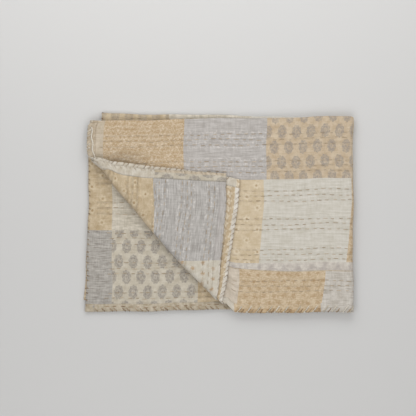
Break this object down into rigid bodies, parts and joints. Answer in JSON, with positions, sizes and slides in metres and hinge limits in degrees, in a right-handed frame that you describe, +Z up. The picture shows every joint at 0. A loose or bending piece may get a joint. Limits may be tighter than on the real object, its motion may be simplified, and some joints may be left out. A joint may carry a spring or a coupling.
{
  "type": "folded kantha quilt",
  "caption": "Kantha quilt folded in quarters into a flat pile with one corner turned back; a light patchwork bedcover.",
  "frame": {"origin": "under the middle of the folded pile, on the surface it rests on", "axes": "+X to the outer fold on the right, +Y to the first fold at the back, +Z up"},
  "size_m": [0.6476, 0.4798, 0.0313],
  "materials": {
    "quilted_cotton": "soft washed cotton patchwork, run with rows of hand stitches",
    "binding_end_upper": "plain cotton strip, whip stitched",
    "binding_end_lower": "plain cotton strip, whip stitched",
    "binding_hem_outer": "plain cotton strip, whip stitched",
    "binding_hem_inner": "plain cotton strip, whip stitched"
  },
  "bodies": {
    "root": {"quilt_cloth": "quilted_cotton", "binding_end_upper": "binding_end_upper", "binding_end_lower": "binding_end_lower", "binding_hem_outer": "binding_hem_outer", "binding_hem_inner": "binding_hem_inner"}
  },
  "joints": []
}
